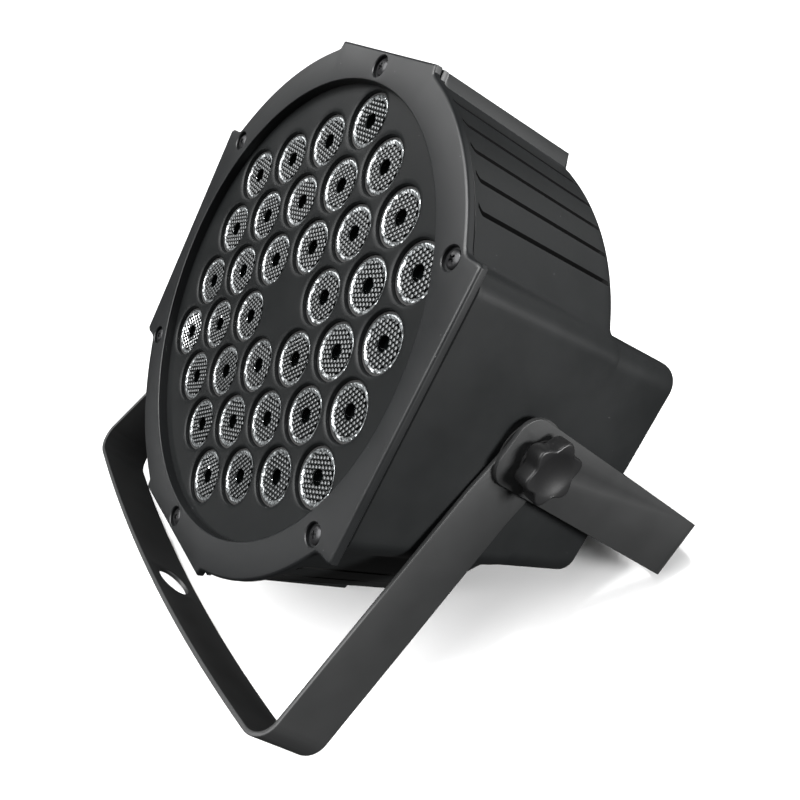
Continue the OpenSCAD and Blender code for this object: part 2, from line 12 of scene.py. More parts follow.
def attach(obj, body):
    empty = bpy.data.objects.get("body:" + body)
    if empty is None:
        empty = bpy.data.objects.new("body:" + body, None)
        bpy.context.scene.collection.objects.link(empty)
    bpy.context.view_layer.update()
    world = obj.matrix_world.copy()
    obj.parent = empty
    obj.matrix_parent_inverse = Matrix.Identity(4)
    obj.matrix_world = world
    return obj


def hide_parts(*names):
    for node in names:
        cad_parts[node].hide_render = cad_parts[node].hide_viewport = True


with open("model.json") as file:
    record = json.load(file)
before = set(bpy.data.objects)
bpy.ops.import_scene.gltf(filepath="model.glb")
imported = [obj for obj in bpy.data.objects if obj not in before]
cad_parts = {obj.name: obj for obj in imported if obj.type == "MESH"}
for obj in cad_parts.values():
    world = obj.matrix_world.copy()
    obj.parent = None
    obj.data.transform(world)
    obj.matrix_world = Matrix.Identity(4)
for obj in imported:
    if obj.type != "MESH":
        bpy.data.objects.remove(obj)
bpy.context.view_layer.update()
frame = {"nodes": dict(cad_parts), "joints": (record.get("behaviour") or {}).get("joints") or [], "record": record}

MM = 0.001
joints = {j["name"]: j for j in frame["joints"]}
nodes = frame["nodes"]
node_slot = {s["node"]: s["material_slot"] for s in frame["record"]["subparts"]}
node_body = {n: b for b, members in frame["record"]["behaviour"]["bodies"].items() for n in members}
scene = bpy.context.scene

# ---------------------------------------------------------------- the lamp's own axes

lamp_x = Vector((1, 0, 0))
lamp_y = Vector(joints["fan_spin"]["axis"]).normalized()
lamp_z = lamp_x.cross(lamp_y)
pivot = Vector(joints["front_yoke_tilt"]["pos_m"])


def lamp_matrix():
    """Lamp millimetres to row metres: Y runs from the bezel's front face to the back, Z up the face."""
    corners = [v.co for v in nodes["front_bezel"].data.vertices]
    front = min(p.dot(lamp_y) for p in corners)
    heights = [p.dot(lamp_z) for p in corners]
    origin = lamp_y * front + lamp_z * (min(heights) + max(heights)) / 2
    turn = Matrix((lamp_x, lamp_y, lamp_z)).transposed().to_4x4()
    return Matrix.Translation(origin) @ turn @ Matrix.Scale(MM, 4)


LAMP = lamp_matrix()
TO_LAMP = LAMP.inverted()


def lamp_box(node):
    """Lowest and highest corner of a CAD node in lamp millimetres."""
    corners = np.array([TO_LAMP @ v.co for v in nodes[node].data.vertices])
    return corners.min(0), corners.max(0)


# ---------------------------------------------------------------- camera

# Place in lamp millimetres, and the picture's right and down as directions in the lamp's axes.
CAMERA_AT = Vector((276.3, -156.1, 56.7))
CAMERA_RIGHT = Vector((0.50468, 0.74258, 0.44032))
CAMERA_DOWN = Vector((0.43404, 0.22263, -0.87295))
LENS_MM = 37.93
SENSOR_MM = 36


def add_camera():
    camera = bpy.data.objects.new("camera", bpy.data.cameras.new("camera"))
    scene.collection.objects.link(camera)
    camera.data.lens = LENS_MM
    camera.data.sensor_width = SENSOR_MM
    turn = LAMP.to_3x3() * (1 / MM)
    right = (turn @ CAMERA_RIGHT).normalized()
    up = -(turn @ CAMERA_DOWN).normalized()
    back = right.cross(up).normalized()
    up = back.cross(right)
    facing = Matrix((right, up, back)).transposed().to_4x4()
    camera.matrix_world = Matrix.Translation(LAMP @ CAMERA_AT) @ facing
    camera.data.clip_start = 0.01
    camera.data.clip_end = 20
    scene.camera = camera


add_camera()

# ---------------------------------------------------------------- materials


MATERIALS = {}


def new_material(name):
    """Starts a material, keeps it in MATERIALS, and gives its node tree and its shader."""
    material = bpy.data.materials.new(name)
    MATERIALS[name] = material
    material.use_nodes = True
    tree = material.node_tree
    return tree, tree.nodes["Principled BSDF"]


def node_of(tree, kind, **settings):
    made = tree.nodes.new(kind)
    for key, value in settings.items():
        setattr(made, key, value)
    return made


def noise(tree, coords, scale, detail=4.0, roughness=0.55):
    """A noise texture whose scale is given as the size of one lump in millimetres."""
    made = node_of(tree, "ShaderNodeTexNoise")
    made.inputs["Scale"].default_value = 1 / (scale * MM)
    made.inputs["Detail"].default_value = detail
    made.inputs["Roughness"].default_value = roughness
    tree.links.new(coords, made.inputs["Vector"])
    return made.outputs["Fac"]


def spread(tree, value, low, high, start=0.3, stop=0.7):
    """Maps a 0 to 1 noise onto low to high."""
    made = node_of(tree, "ShaderNodeMapRange")
    made.inputs["From Min"].default_value = start
    made.inputs["From Max"].default_value = stop
    made.inputs["To Min"].default_value = low
    made.inputs["To Max"].default_value = high
    tree.links.new(value, made.inputs["Value"])
    return made.outputs["Result"]


def between(tree, factor, first, second):
    """Mixes two colours by a factor."""
    made = node_of(tree, "ShaderNodeMix", data_type="RGBA")
    tree.links.new(factor, made.inputs["Factor"])
    made.inputs["A"].default_value = (*first, 1)
    made.inputs["B"].default_value = (*second, 1)
    return made.outputs["Result"]


def bumped(tree, shader, height, strength, distance_mm):
    made = node_of(tree, "ShaderNodeBump")
    made.inputs["Strength"].default_value = strength
    made.inputs["Distance"].default_value = distance_mm * MM
    tree.links.new(height, made.inputs["Height"])
    tree.links.new(made.outputs["Normal"], shader.inputs["Normal"])


def plain_surface(name, dark, light, roughness, grain_mm, grain_depth, metallic=0.0, patch_mm=18):
    """A surface with soft colour patches, uneven gloss and a fine moulded or painted grain."""
    tree, shader = new_material(name)
    coords = node_of(tree, "ShaderNodeTexCoord").outputs["Object"]
    patches = noise(tree, coords, patch_mm)
    tree.links.new(between(tree, spread(tree, patches, 0, 1), dark, light), shader.inputs["Base Color"])
    tree.links.new(spread(tree, patches, *roughness), shader.inputs["Roughness"])
    shader.inputs["Metallic"].default_value = metallic
    shader.inputs["Specular IOR Level"].default_value = 0.5
    bumped(tree, shader, noise(tree, coords, grain_mm, 2), 0.5, grain_depth)


DUST_PITCH_MM = 6
DUST_COLOUR = (0.16, 0.16, 0.165, 1)


def black_plastic(name, shade, roughness, grain_mm=0.45, grain_depth=0.03, specular=0.5):
    """Moulded black plastic with a few pale dust specks."""
    tree, shader = new_material(name)
    coords = node_of(tree, "ShaderNodeTexCoord").outputs["Object"]
    patches = noise(tree, coords, 25)
    dark = tuple(0.9 * c for c in shade)
    base = between(tree, spread(tree, patches, 0, 1), dark, shade)
    dust = node_of(tree, "ShaderNodeTexVoronoi")
    dust.inputs["Scale"].default_value = 1 / (DUST_PITCH_MM * MM)
    dust.inputs["Randomness"].default_value = 1
    tree.links.new(coords, dust.inputs["Vector"])
    speck = spread(tree, dust.outputs["Distance"], 1, 0, 0.018, 0.03)
    mixed = node_of(tree, "ShaderNodeMix", data_type="RGBA")
    tree.links.new(speck, mixed.inputs["Factor"])
    tree.links.new(base, mixed.inputs["A"])
    mixed.inputs["B"].default_value = DUST_COLOUR
    tree.links.new(mixed.outputs["Result"], shader.inputs["Base Color"])
    tree.links.new(spread(tree, patches, *roughness), shader.inputs["Roughness"])
    shader.inputs["Specular IOR Level"].default_value = specular
    bumped(tree, shader, noise(tree, coords, grain_mm, 3), 0.6, grain_depth)


def lens_material(name, painted_shade, painted_highlight):
    """Clear moulded acrylic, drawn half metallic: painted shade in the hollows between its beads, and a silvery
    painted highlight on their tops.
    """
    tree, shader = new_material(name)
    coords = node_of(tree, "ShaderNodeTexCoord").outputs["Object"]
    # Each point's attribute sets its colour, from painted shade up to painted highlight.
    height = node_of(tree, "ShaderNodeAttribute", attribute_name="painted_highlight").outputs["Fac"]
    tint = between(tree, spread(tree, height, 0, 1, 0.15, 1), painted_shade, painted_highlight)
    tree.links.new(tint, shader.inputs["Base Color"])
    tree.links.new(spread(tree, noise(tree, coords, 3), 0.08, 0.2), shader.inputs["Roughness"])
    shader.inputs["Metallic"].default_value = 0.6
    shader.inputs["IOR"].default_value = 1.49
    shader.inputs["Coat Weight"].default_value = 0.6
    shader.inputs["Coat Roughness"].default_value = 0.06


def brushed(name, colour, roughness):
    """Bare metal with fine turning marks."""
    tree, shader = new_material(name)
    coords = node_of(tree, "ShaderNodeTexCoord").outputs["Object"]
    streaks = noise(tree, coords, 0.6, 6, 0.7)
    dark = tuple(0.8 * c for c in colour)
    tree.links.new(between(tree, spread(tree, streaks, 0, 1), dark, colour), shader.inputs["Base Color"])
    tree.links.new(spread(tree, streaks, *roughness), shader.inputs["Roughness"])
    shader.inputs["Metallic"].default_value = 1
    bumped(tree, shader, streaks, 0.3, 0.01)


# Colours of the lenses' painted shade and painted highlight.
LENS_PAINTED_SHADE_COLOUR = (0.003, 0.004, 0.004)
LENS_PAINTED_HIGHLIGHT_COLOUR = (0.57, 0.6, 0.61)

black_plastic("bezel_plastic", (0.006, 0.0067, 0.0072), (0.36, 0.44), specular=0.5)
black_plastic("panel_plastic", (0.004, 0.0047, 0.0049), (0.42, 0.5), specular=0.24)
black_plastic("housing_plastic", (0.006, 0.0068, 0.0071), (0.42, 0.5), specular=0.42)
black_plastic("cover_plastic", (0.030, 0.030, 0.031), (0.5, 0.6))
black_plastic("knob_plastic", (0.009, 0.009, 0.0093), (0.38, 0.46), 0.3, 0.02, 0.4)
black_plastic("button_plastic", (0.05, 0.05, 0.052), (0.4, 0.5), 0.3, 0.02)
black_plastic("socket_plastic", (0.022, 0.022, 0.023), (0.3, 0.4), 0.3, 0.02)
black_plastic("inner_plastic", (0.02, 0.02, 0.02), (0.5, 0.6))
# Near-black, barely glossy: painted shade in the housing's grooves and in the neck behind the bezel.
black_plastic("painted_groove_shade", (0.002, 0.002, 0.002), (0.7, 0.8), specular=0.1)
lens_material("clear_lens", LENS_PAINTED_SHADE_COLOUR, LENS_PAINTED_HIGHLIGHT_COLOUR)
plain_surface("window_tint", (0.05, 0.004, 0.004), (0.08, 0.006, 0.006), (0.05, 0.1), 4, 0.002)
plain_surface("display_red", (0.08, 0.02, 0.02), (0.12, 0.03, 0.03), (0.2, 0.3), 1, 0.01)
plain_surface("led_chip", (0.75, 0.62, 0.2), (0.9, 0.8, 0.4), (0.15, 0.25), 0.5, 0.01)
plain_surface("white_board", (0.7, 0.7, 0.68), (0.8, 0.8, 0.78), (0.3, 0.4), 0.8, 0.01)
plain_surface("green_board", (0.01, 0.09, 0.04), (0.02, 0.12, 0.05), (0.25, 0.4), 0.8, 0.01)
plain_surface("coil_tape", (0.45, 0.34, 0.04), (0.6, 0.48, 0.07), (0.3, 0.45), 0.7, 0.02)
plain_surface("can_sleeve", (0.02, 0.025, 0.07), (0.03, 0.035, 0.09), (0.2, 0.3), 1, 0.005)
plain_surface("pad_rubber", (0.012, 0.012, 0.012), (0.02, 0.02, 0.02), (0.7, 0.85), 0.3, 0.03)
plain_surface("painted_strap", (0.018, 0.0185, 0.0187), (0.022, 0.0225, 0.0227), (0.42, 0.52),
              0.5, 0.02, patch_mm=40)
plain_surface("black_screw", (0.02, 0.02, 0.021), (0.035, 0.035, 0.037), (0.25, 0.4),
              0.3, 0.01, metallic=0.6)
brushed("plain_steel", (0.56, 0.56, 0.58), (0.25, 0.4))
brushed("bare_aluminium", (0.72, 0.73, 0.75), (0.35, 0.5))
brushed("brass_part", (0.75, 0.58, 0.26), (0.25, 0.35))

# ---------------------------------------------------------------- mesh tools


class Shell:
    """A mesh under construction in lamp millimetres."""

    def __init__(self):
        self.mesh = bmesh.new()

    def ring(self, points):
        return [self.mesh.verts.new(p) for p in points]

    def skin(self, first, second):
        """Joins two closed rings of the same length with quads."""
        count = len(first)
        for i in range(count):
            j = (i + 1) % count
            corners = [first[i], first[j], second[j], second[i]]
            self.mesh.faces.new(corners).smooth = True

    def loft(self, rings):
        for first, second in zip(rings, rings[1:]):
            self.skin(first, second)

    def cap(self, ring, centre):
        """Closes a ring with triangles to a centre point."""
        middle = self.mesh.verts.new(centre)
        for i, vert in enumerate(ring):
            self.mesh.faces.new([vert, ring[(i + 1) % len(ring)], middle]).smooth = True

    def fill(self, rings):
        """Fills the flat region between an outer ring and the holes in it."""
        edges = []
        for ring in rings:
            for i, vert in enumerate(ring):
                other = ring[(i + 1) % len(ring)]
                pair = (vert, other)
                edges.append(self.mesh.edges.get(pair) or self.mesh.edges.new(pair))
        bmesh.ops.triangle_fill(self.mesh, edges=edges, use_beauty=True, use_dissolve=False)

    def finish(self, weld=0.002):
        bmesh.ops.remove_doubles(self.mesh, verts=self.mesh.verts, dist=weld)
        bmesh.ops.dissolve_degenerate(self.mesh, edges=self.mesh.edges, dist=weld)
        loose = [v for v in self.mesh.verts if not v.link_faces]
        bmesh.ops.delete(self.mesh, geom=loose, context="VERTS")
        bmesh.ops.recalc_face_normals(self.mesh, faces=self.mesh.faces)
        return self.mesh


def add_piece(name, shell, slot, stands_for, crease=32, weld=0.002, also=()):
    """Makes a piece from a shell or bmesh, in the place of a CAD node and on its body.

    Edges sharper than crease degrees stay hard. The slots in also follow the first in the material
    list, for the faces that a shell has marked.
    """
    built = shell.finish(weld) if isinstance(shell, Shell) else shell
    data = bpy.data.meshes.new(name)
    built.to_mesh(data)
    built.free()
    data.transform(LAMP)
    data.set_sharp_from_angle(angle=math.radians(crease))
    piece = bpy.data.objects.new(name, data)
    scene.collection.objects.link(piece)
    for wanted in (slot, *also):
        piece.data.materials.append(MATERIALS[wanted])
    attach(piece, node_body[stands_for])
    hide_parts(stands_for)


def circle(radius, depth, at=(0, 0), count=48):
    """Points of a circle that faces along Y."""
    angles = np.linspace(0, 2 * math.pi, count, endpoint=False)
    return [(at[0] + radius * math.cos(a), depth, at[1] + radius * math.sin(a)) for a in angles]


def quarter(radius, steps):
    """Inset and drop of the points along a rounded edge, from the side to the face."""
    angles = np.linspace(0, math.pi / 2, steps + 1)
    return [(radius * (1 - math.cos(a)), radius * (1 - math.sin(a))) for a in angles]


# ---------------------------------------------------------------- outlines seen from the front

flat_x, _, flat_z = lamp_box("front_bezel")[1]
bezel_r = 101.7
bezel_t = 3.3
mouth_r = 88.3
lug_half = 32.5
side_half = 50.5
panel_low, panel_high = lamp_box("lens_panel")
panel_front = panel_low[1]
panel_back = panel_high[1]
panel_r = panel_high[0]

housing_low, housing_high = lamp_box("rear_housing")
lip = 1.5
housing_front = housing_low[1]
lamp_depth = housing_high[1]
round_depth = 79
housing_r = bezel_r - lip
shoulder_r = 5
end_chamfer = 2
chamfer_inset = 1.6
straight_depth = lamp_depth - end_chamfer - housing_front
round_draft = 1.8 / (round_depth - housing_front)
box_draft = 3.7 / straight_depth
# The lugs taper slightly up to lug_end, and then drop below the round part.
lug_end = round_depth - 11
lug_fall_start = round_depth - 8
lug_fall_length = 3
lug_fall = 14


def box_radius(angle, half_x, half_z, corner_r):
    """Distance from the centre to a rounded rectangle in each direction."""
    c, s = np.abs(np.cos(angle)), np.abs(np.sin(angle))
    straight = np.minimum(half_x / np.maximum(c, 1e-9), half_z / np.maximum(s, 1e-9))
    in_x, in_z = half_x - corner_r, half_z - corner_r
    along = in_x * c + in_z * s
    rounded = along + np.sqrt(np.maximum(along**2 - in_x**2 - in_z**2 + corner_r**2, 0))
    at_corner = (straight * c > in_x) & (straight * s > in_z)
    return np.where(at_corner, rounded, straight)


def soft_max(a, b, width):
    """The larger of two values, with a smooth change from one to the other."""
    return (a + b + np.sqrt((a - b) ** 2 + width**2)) / 2


def even_angles(step):
    """Directions all round, a step in degrees apart."""
    return np.radians(np.arange(0, 360, step))


def inset_points(angle, radius, inset):
    """Plan points of a polar outline, moved inwards along its normal."""
    x, z = radius * np.cos(angle), radius * np.sin(angle)
    dx = np.roll(x, -1) - np.roll(x, 1)
    dz = np.roll(z, -1) - np.roll(z, 1)
    length = np.hypot(dx, dz)
    return x - inset * dz / length, z + inset * dx / length


def bezel_outline(angle, inset):
    """Distance to the bezel's edge: a circle with two flat lugs and two flat sides."""
    round_part = np.full_like(angle, bezel_r - inset)
    with_lugs = soft_max(round_part, box_radius(angle, lug_half - inset, flat_z + 4, 3), 2)
    whole = soft_max(with_lugs, box_radius(angle, flat_x + 4, side_half - inset, 3), 2)
    return np.minimum(whole, box_radius(angle, flat_x - inset, flat_z - inset, 3))


# ---------------------------------------------------------------- bezel

screw_low, screw_high = lamp_box("bezel_screws")
screw_head_r = 3.2
screw_head_h = 1.4
screw_top_z = screw_high[2] - screw_head_r
screw_side_x = screw_high[0] - screw_head_r
screw_side_z = 47.8
bezel_screw_at = [(0, screw_top_z), (0, -screw_top_z)]
bezel_screw_at += [(sx * screw_side_x, sz * screw_side_z) for sx in (-1, 1) for sz in (-1, 1)]
counterbore_r = 4
counterbore_depth = 1.6
counterbore_chamfer = 0.3
bezel_rounding = 1.1
mouth_rounding = 0.4
back_chamfer = 0.4


def make_bezel():
    """The front ring, with its rounded edges and a counterbore for each screw."""
    shell = Shell()
    angle = even_angles(0.75)
    count = len(angle)

    def outline_ring(inset, depth):
        reach = bezel_outline(angle, inset)
        return shell.ring([(r * math.cos(a), depth, r * math.sin(a)) for r, a in zip(reach, angle)])

    edge = [outline_ring(back_chamfer, bezel_t), outline_ring(0, bezel_t - back_chamfer)]
    edge += [outline_ring(inset, drop) for inset, drop in quarter(bezel_rounding, 6)]
    shell.loft(edge)
    mouth = [shell.ring(circle(mouth_r + mouth_rounding * (1 - math.sin(a)),
                               mouth_rounding * (1 - math.cos(a)), count=count))
             for a in np.linspace(0, math.pi / 2, 6)]
    mouth.append(shell.ring(circle(mouth_r, panel_front, count=count)))
    mouth.append(shell.ring(circle(panel_r, panel_front, count=count)))
    mouth.append(shell.ring(circle(panel_r, bezel_t, count=count)))
    shell.loft(mouth)
    shell.skin(mouth[-1], edge[0])
    holes = []
    for at in bezel_screw_at:
        rims = [shell.ring(circle(counterbore_r + counterbore_chamfer, 0, at)),
                shell.ring(circle(counterbore_r, counterbore_chamfer, at)),
                shell.ring(circle(counterbore_r, counterbore_depth, at))]
        shell.loft(rims)
        shell.fill([rims[-1]])
        holes.append(rims[0])
    shell.fill([edge[-1], mouth[0], *holes])
    add_piece("bezel_shell", shell, "bezel_plastic", "front_bezel")


make_bezel()

# ---------------------------------------------------------------- lens panel and lenses

lens_pitch = 25
lens_rise = 1
lens_r = 10
lens_hole_r = 11
fillet_width = 2
fillet_depth = 0.7
lens_front = 5.6
COLUMN_COUNTS = (4, 5, 6, 7, 6, 5, 4)
# Upright columns on a triangular grid, with no lens at the very centre.
lens_at = [
    ((i - 3) * lens_pitch * math.sqrt(3) / 2, (j - (count - 1) / 2) * lens_pitch + lens_rise)
    for i, count in enumerate(COLUMN_COUNTS)
    for j in range(count)
    if (i, j) != (3, 3)
]


def make_panel():
    """The round panel behind the bezel, with a soft-edged hole for each lens."""
    shell = Shell()
    rim_count = 180
    hole_count = 56
    rim = shell.ring(circle(panel_r, panel_front, count=rim_count))
    back = shell.ring(circle(panel_r, panel_back, count=rim_count))
    shell.skin(rim, back)
    fronts, rears = [rim], [back]
    for at in lens_at:
        rings = [shell.ring(circle(lens_hole_r + fillet_width * (1 - math.sin(a)),
                                   panel_front + fillet_depth * (1 - math.cos(a)), at, hole_count))
                 for a in np.linspace(0, math.pi / 2, 7)]
        rings.append(shell.ring(circle(lens_hole_r, panel_back, at, hole_count)))
        shell.loft(rings)
        fronts.append(rings[0])
        rears.append(rings[-1])
    shell.fill(fronts)
    shell.fill(rears)
    add_piece("lens_panel_shell", shell, "panel_plastic", "lens_panel")


make_panel()

bead_pitch = 1.9
bead_height = 0.55
# Painted highlight on the top of each bead.
bead_painted_highlight = 0.3
beaded_r = 8.6
well_r = 2.9
well_depth = 3
lens_depth = 11
lens_tail_r = 4.6
flutes = 44
flute_depth = 0.12


def hexagon(centre, size):
    """Corners of a hexagon in plan."""
    turns = [math.radians(30 + 60 * k) for k in range(6)]
    return [(centre[0] + size * math.cos(a), centre[1] + size * math.sin(a)) for a in turns]


def kept_between(point, low, high):
    """Moves a plan point radially into the ring between two radii."""
    radius = math.hypot(*point)
    wanted = min(max(radius, low), high)
    return (point[0] * wanted / radius, point[1] * wanted / radius)


def bead_quilt(mesh, layer):
    """The beaded front of one lens: a honeycomb of small domes between the well and the rim."""
    rows = int(beaded_r / bead_pitch) + 2
    base = lens_front + bead_height
    for row in range(-rows, rows + 1):
        for column in range(-rows - rows // 2, rows + rows // 2 + 1):
            centre = (bead_pitch * (column + row / 2), bead_pitch * row * math.sqrt(3) / 2)
            if not well_r + 0.1 < math.hypot(*centre) < beaded_r + 0.1:
                continue
            size = bead_pitch / math.sqrt(3)
            levels = [(size, 0.0), (0.78 * size, 0.55), (0.42 * size, 0.9)]
            rings = []
            for reach, lift in levels:
                ring = []
                for point in hexagon(centre, reach):
                    x, z = kept_between(point, well_r + 0.15, beaded_r)
                    vert = mesh.verts.new((x, base - lift * bead_height, z))
                    # More painted highlight towards each bead's top, painted shade at its foot.
                    vert[layer] = bead_painted_highlight * lift
                    ring.append(vert)
                rings.append(ring)
            x, z = kept_between(centre, well_r + 0.3, beaded_r - 0.1)
            top = mesh.verts.new((x, base - bead_height, z))
            top[layer] = bead_painted_highlight
            for outer, inner in zip(rings, rings[1:]):
                for k in range(6):
                    after = (k + 1) % 6
                    mesh.faces.new([outer[k], outer[after], inner[after], inner[k]]).smooth = True
            for k in range(6):
                mesh.faces.new([rings[-1][k], rings[-1][(k + 1) % 6], top]).smooth = True


def lens_mesh():
    """One collimator lens about its own axis."""
    shell = Shell()
    mesh = shell.mesh
    layer = mesh.verts.layers.float.new("painted_highlight")
    bead_quilt(mesh, layer)
    base = lens_front + bead_height
    count = 2 * flutes
    # Radius, depth and painted light of each ring, with the brightest painted highlight near the rim. A ring
    # without a set value is fluted and gets uneven random painted glints.
    rim_levels = [
        (beaded_r - 0.35, base + 0.05, 0.2),
        (beaded_r + 0.1, base - 0.3, None),
        (9.35, lens_front, None),
        (9.75, lens_front + 0.1, None),
        (lens_r, lens_front + 0.5, 0.8),
        (lens_r, lens_front + 1.5, 0.6),
        (lens_tail_r, lens_front + lens_depth, 0.3),
        (3, lens_front + lens_depth, 0.3),
    ]
    rings = []
    luck = random.Random(3)
    for radius, depth, painted_light in rim_levels:
        ring = shell.ring(circle(radius, depth, count=count))
        for k, vert in enumerate(ring):
            if painted_light is None:
                vert.co.y += flute_depth * (k % 2) + luck.uniform(0, flute_depth)
                vert[layer] = luck.uniform(0.1, 1.0)
            else:
                vert[layer] = painted_light
        rings.append(ring)
    shell.loft(rings)
    # Painted highlight on the well's lip, painted shade at its bottom.
    well_levels = [
        (well_r + 0.45, base + 0.05, 0.1),
        (well_r + 0.2, base - 0.15, 0.4),
        (well_r, base + 0.1, 0.1),
        (well_r, lens_front + well_depth, 0.0),
    ]
    well = []
    for radius, depth, painted_light in well_levels:
        ring = shell.ring(circle(radius, depth, count=32))
        for vert in ring:
            vert[layer] = painted_light
        well.append(ring)
    shell.loft(well)
    shell.fill([well[-1]])
    shell.fill([rings[-1]])
    bmesh.ops.remove_doubles(mesh, verts=mesh.verts, dist=0.01)
    bmesh.ops.dissolve_degenerate(mesh, edges=mesh.edges, dist=0.01)
    bmesh.ops.recalc_face_normals(mesh, faces=mesh.faces)
    return mesh


def copies(one, places):
    """One bmesh with a copy of another at every place, given as matrices."""
    whole = bmesh.new()
    data = bpy.data.meshes.new("one")
    one.to_mesh(data)
    one.free()
    for place in places:
        start = len(whole.verts)
        whole.from_mesh(data)
        whole.verts.ensure_lookup_table()
        bmesh.ops.transform(whole, matrix=place, verts=whole.verts[start:])
    bpy.data.meshes.remove(data)
    return whole


def make_lenses():
    """All lenses as one piece, each turned by its own chance angle."""
    luck = random.Random(7)
    places = [Matrix.Translation((x, 0, z)) @ Matrix.Rotation(luck.uniform(0, math.pi / 3), 4, "Y")
              for x, z in lens_at]
    add_piece("collimator_lenses", copies(lens_mesh(), places), "clear_lens", "lenses", crease=25)


make_lenses()

# ---------------------------------------------------------------- screws

SCREW_SHANK_R = 1.45


def screw_mesh(head_r, head_h, shank_r, shank_len, cross_r, cross_w):
    """A cross-head screw along +Y with its domed head's rim at Y = head_h."""
    dome = [(head_r * math.sin(a), head_h * (1 - math.cos(a)) * 0.9)
            for a in np.linspace(0.18, math.pi / 2, 7)]
    shell = Shell()
    rings = [shell.ring(circle(r, y, count=40)) for r, y in dome]
    rings.append(shell.ring(circle(head_r, head_h, count=40)))
    rings.append(shell.ring(circle(shank_r, head_h, count=40)))
    rings.append(shell.ring(circle(shank_r, head_h + shank_len, count=40)))
    shell.loft(rings)
    shell.fill([rings[0]])
    shell.fill([rings[-1]])
    body = bpy.data.meshes.new("screw")
    shell.finish().to_mesh(body)
    cutter = Shell()
    deep = 0.75 * head_h
    arms = []
    for depth, reach, half in ((-1, cross_r, cross_w / 2), (deep, 0.45 * cross_r, 0.35 * cross_w)):
        plan = []
        for k in range(4):
            turn = Matrix.Rotation(math.pi / 2 * k, 2)
            corners = ((reach, -half), (reach, half), (half, half))
            plan += [turn @ Vector(corner) for corner in corners]
        arms.append(cutter.ring([(p.x, depth, p.y) for p in plan]))
    cutter.loft(arms)
    cutter.fill([arms[0]])
    cutter.fill([arms[1]])
    cross = bpy.data.meshes.new("cross")
    cutter.finish().to_mesh(cross)
    return cut(body, cross)


def cut(body, cutter):
    """The first mesh minus the second, as a bmesh."""
    solid = bpy.data.objects.new("solid", body)
    tool = bpy.data.objects.new("tool", cutter)
    for item in (solid, tool):
        scene.collection.objects.link(item)
    modifier = solid.modifiers.new("cut", "BOOLEAN")
    modifier.operation = "DIFFERENCE"
    modifier.solver = "EXACT"
    modifier.object = tool
    bpy.context.view_layer.update()
    result = bmesh.new()
    result.from_object(solid, bpy.context.evaluated_depsgraph_get())
    bpy.data.objects.remove(solid)
    bpy.data.objects.remove(tool)
    return result


def make_screws(name, slot, node, places, head_r, head_h, shank_len, facing):
    """Screws whose heads face the front (1) or the back (-1), each turned by its own chance angle."""
    luck = random.Random(name)
    turn = Matrix.Scale(facing, 4, (0, 1, 0))
    spots = [Matrix.Translation((x, depth, z)) @ turn @ Matrix.Rotation(luck.uniform(0, 1.5), 4, "Y")
             for x, depth, z in places]
    one = screw_mesh(head_r, head_h, SCREW_SHANK_R, shank_len, 0.62 * head_r, 0.3 * head_r)
    whole = copies(one, spots)
    bmesh.ops.recalc_face_normals(whole, faces=whole.faces)
    add_piece(name, whole, slot, node, crease=30)


make_screws("bezel_cross_screws", "black_screw", "bezel_screws",
            [(x, screw_low[1], z) for x, z in bezel_screw_at], screw_head_r, screw_head_h, 9, 1)

# ---------------------------------------------------------------- ribbed housing

# Faces cut deeper than this many millimetres get the housing's second material: painted shade, near-black and
# barely glossy, in the grooves and in the neck behind the bezel.
PAINTED_SHADE_OVER = 0.3
PAINTED_SHADE_SLOT = 1

# The grooves repeat in each quarter. Their place and width are degrees up from the lamp's side.
GROOVES = 5
groove_first = 38.7
groove_step = 6.6
groove_width = 1
groove_front = 6.5
groove_depth = 3
groove_fade = 5
# Each groove curves towards the lug over its first millimetres.
hook_depth = 2
hook_turn = math.radians(1.3)

# The gap between the bezel and the housing.
neck_depth = 2.4
neck_width = 0.9

wall = 2.5
slot_xs = range(-45, 46, 9)
slot_z = 66
slot_half_x = 1.6
slot_half_z = 13
pocket_corner_r = 3.2
pocket_gap = 0.3


def groove_cut(angle, depth):
    """Depth of the grooves at each angle: a sharp step, then a quick return. They fade at the rear."""
    folded = np.degrees(np.arctan2(np.abs(np.sin(angle)), np.abs(np.cos(angle))))
    cut_depth = np.zeros_like(angle)
    for k in range(GROOVES):
        past = (folded - groove_first - k * groove_step) / groove_width
        ramp = np.where(past >= 0, np.clip((1 - past) / 0.6, 0, 1), 0)
        cut_depth = np.maximum(cut_depth, groove_depth * ramp)
    return cut_depth * min(1, max(0, (round_depth - shoulder_r - depth) / groove_fade))


def housing_angles():
    """Directions sampled for the housing, with a close pair at each groove's step."""
    found = list(np.arange(0, 90, 0.75))
    for k in range(GROOVES):
        start = groove_first + k * groove_step
        found += [start - 0.03, start, start + 0.4 * groove_width, start + groove_width]
    quarter_turn = np.unique(np.round(found, 3))
    mirrored = np.concatenate([quarter_turn, 180 - quarter_turn, 180 + quarter_turn, 360 - quarter_turn])
    return np.radians(np.unique(np.round(mirrored % 360, 3)))


def housing_radius(angle, depth, round_r):
    """The housing's outline at a depth: its middle box, and the round part and lugs if they reach it."""
    back = min(depth, lamp_depth - end_chamfer) - housing_front
    trim = chamfer_inset * max(0, depth - (lamp_depth - end_chamfer)) / end_chamfer
    side = flat_x - lip - box_draft * back - trim
    high = side_half - 1 - box_draft * back - trim
    box = box_radius(angle, side, high, 9 - trim)
    if round_r is None:
        return box
    top = flat_z - 0.3 * min(1, (depth - housing_front) / (lug_end - housing_front))
    fall = np.clip((depth - lug_fall_start) / lug_fall_length, 0, 1)
    lug = box_radius(angle, lug_half - 1, top + 4 - lug_fall * fall, 2)
    body = soft_max(soft_max(np.full_like(angle, round_r), lug, 2), box, 2)
    return np.minimum(body, box_radius(angle, side, top, 2))


